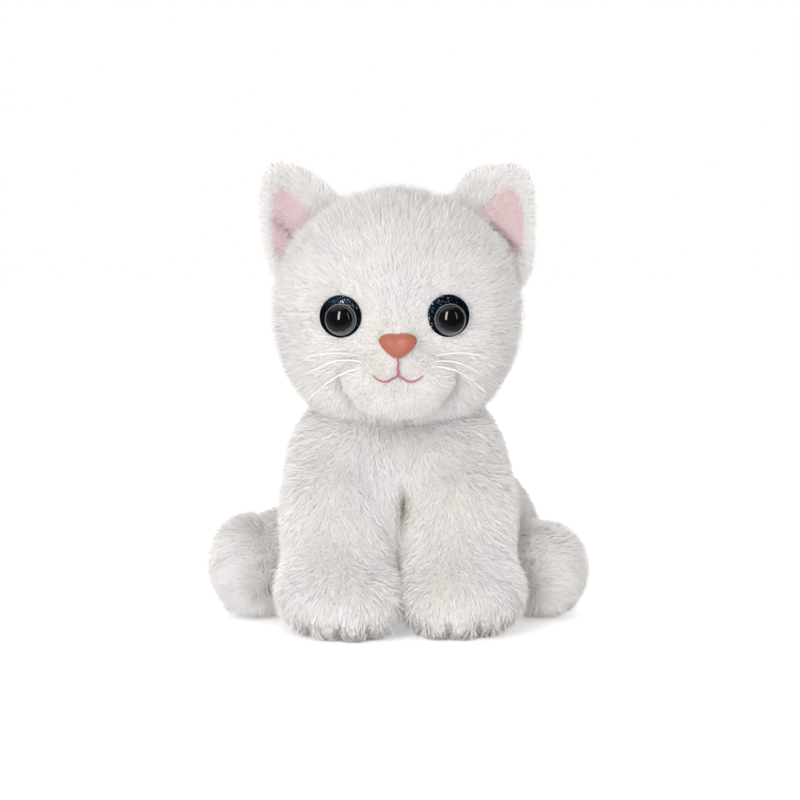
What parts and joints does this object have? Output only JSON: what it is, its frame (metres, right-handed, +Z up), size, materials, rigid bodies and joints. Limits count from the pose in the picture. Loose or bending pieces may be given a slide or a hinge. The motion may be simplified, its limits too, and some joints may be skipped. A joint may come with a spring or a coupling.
{
  "type": "plush cat",
  "caption": "Small sitting plush kitten with long white pile, pink-lined ears, domed glitter eyes, a moulded nose and soft sewn limbs.",
  "frame": {"origin": "centre of the flat seat, on the surface that the cat sits on", "axes": "+Z up, the face looks along -Y, +X to the cat's own left"},
  "size_m": [0.1602, 0.1585, 0.1918],
  "materials": {
    "long_pile_plush": "matte",
    "short_pile_plush": "matte",
    "pink_short_pile": "matte",
    "fibre_fill": "matte",
    "pouch_cloth": "matte",
    "pellet_plastic": "satin",
    "eye_plastic": "polished",
    "glitter_film": "gloss",
    "washer_plastic": "satin",
    "nose_plastic": "satin",
    "mouth_thread": "satin",
    "whisker_filament": "gloss",
    "sewing_thread": "satin",
    "label_ribbon": "satin"
  },
  "bodies": {
    "torso": {"body_side_left": "long_pile_plush", "body_side_right": "long_pile_plush", "seat_panel": "long_pile_plush", "body_stuffing": "fibre_fill", "pellet_pouch": "pouch_cloth", "pellets": "pellet_plastic", "back_closing_stitches": "sewing_thread", "sewn_label": "label_ribbon"},
    "neck": {"neck_stuffing": "fibre_fill"},
    "head": {"head_gusset": "long_pile_plush", "head_side_left": "long_pile_plush", "head_side_right": "long_pile_plush", "head_stuffing": "fibre_fill", "muzzle_panel": "short_pile_plush", "muzzle_stuffing": "fibre_fill", "chin_panel": "short_pile_plush", "nose": "nose_plastic", "nose_lock_washer": "washer_plastic", "mouth_stitches": "mouth_thread", "eye_lens_left": "eye_plastic", "eye_lens_right": "eye_plastic", "eye_glitter_disc_left": "glitter_film", "eye_glitter_disc_right": "glitter_film", "eye_lock_washer_left": "washer_plastic", "eye_lock_washer_right": "washer_plastic", "whiskers_left": "whisker_filament", "whiskers_right": "whisker_filament"},
    "tail": {"tail_skin": "long_pile_plush", "tail_stuffing": "fibre_fill"},
    "ear_left": {"ear_back_left": "long_pile_plush", "ear_lining_left": "pink_short_pile"},
    "front_leg_left": {"front_leg_skin_left": "long_pile_plush", "front_leg_stuffing_left": "fibre_fill", "front_toe_stitches_left": "sewing_thread"},
    "hind_leg_left": {"hind_leg_skin_left": "long_pile_plush", "hind_leg_stuffing_left": "fibre_fill"},
    "ear_right": {"ear_back_right": "long_pile_plush", "ear_lining_right": "pink_short_pile"},
    "front_leg_right": {"front_leg_skin_right": "long_pile_plush", "front_leg_stuffing_right": "fibre_fill", "front_toe_stitches_right": "sewing_thread"},
    "hind_leg_right": {"hind_leg_skin_right": "long_pile_plush", "hind_leg_stuffing_right": "fibre_fill"}
  },
  "joints": [
    {"name": "head_turn", "type": "hinge", "parent": "torso", "child": "neck", "pos_m": [0, -0.026, 0.0855], "axis": [0, 0, 1], "range_deg": [-20, 20], "stiffness_Nm_per_rad": 0.6},
    {"name": "head_nod", "type": "hinge", "parent": "neck", "child": "head", "pos_m": [0, -0.026, 0.0855], "axis": [1, 0, 0], "range_deg": [-8, 8], "stiffness_Nm_per_rad": 2},
    {"name": "tail_swing", "type": "hinge", "parent": "torso", "child": "tail", "pos_m": [0.01, 0.034, 0.0093], "axis": [0, 0, 1], "range_deg": [-15, 15], "stiffness_Nm_per_rad": 0.05},
    {"name": "ear_fold_left", "type": "hinge", "parent": "head", "child": "ear_left", "pos_m": [0.0375, -0.024, 0.159], "axis": [0.6281, 0, -0.7781], "range_deg": [-15, 15], "stiffness_Nm_per_rad": 0.06},
    {"name": "front_leg_lift_left", "type": "hinge", "parent": "torso", "child": "front_leg_left", "pos_m": [0.024, -0.042, 0.05], "axis": [-1, 0, 0], "range_deg": [0, 20], "stiffness_Nm_per_rad": 0.3},
    {"name": "hind_leg_lift_left", "type": "hinge", "parent": "torso", "child": "hind_leg_left", "pos_m": [0.04, -0.004, 0.0195], "axis": [-0.6691, -0.7431, 0], "range_deg": [0, 18], "stiffness_Nm_per_rad": 0.3},
    {"name": "ear_fold_right", "type": "hinge", "parent": "head", "child": "ear_right", "pos_m": [-0.0375, -0.024, 0.159], "axis": [0.6281, 0, 0.7781], "range_deg": [-15, 15], "stiffness_Nm_per_rad": 0.06},
    {"name": "front_leg_lift_right", "type": "hinge", "parent": "torso", "child": "front_leg_right", "pos_m": [-0.024, -0.042, 0.05], "axis": [-1, 0, 0], "range_deg": [0, 20], "stiffness_Nm_per_rad": 0.3},
    {"name": "hind_leg_lift_right", "type": "hinge", "parent": "torso", "child": "hind_leg_right", "pos_m": [-0.04, -0.004, 0.0195], "axis": [-0.6691, 0.7431, 0], "range_deg": [0, 18], "stiffness_Nm_per_rad": 0.3}
  ]
}
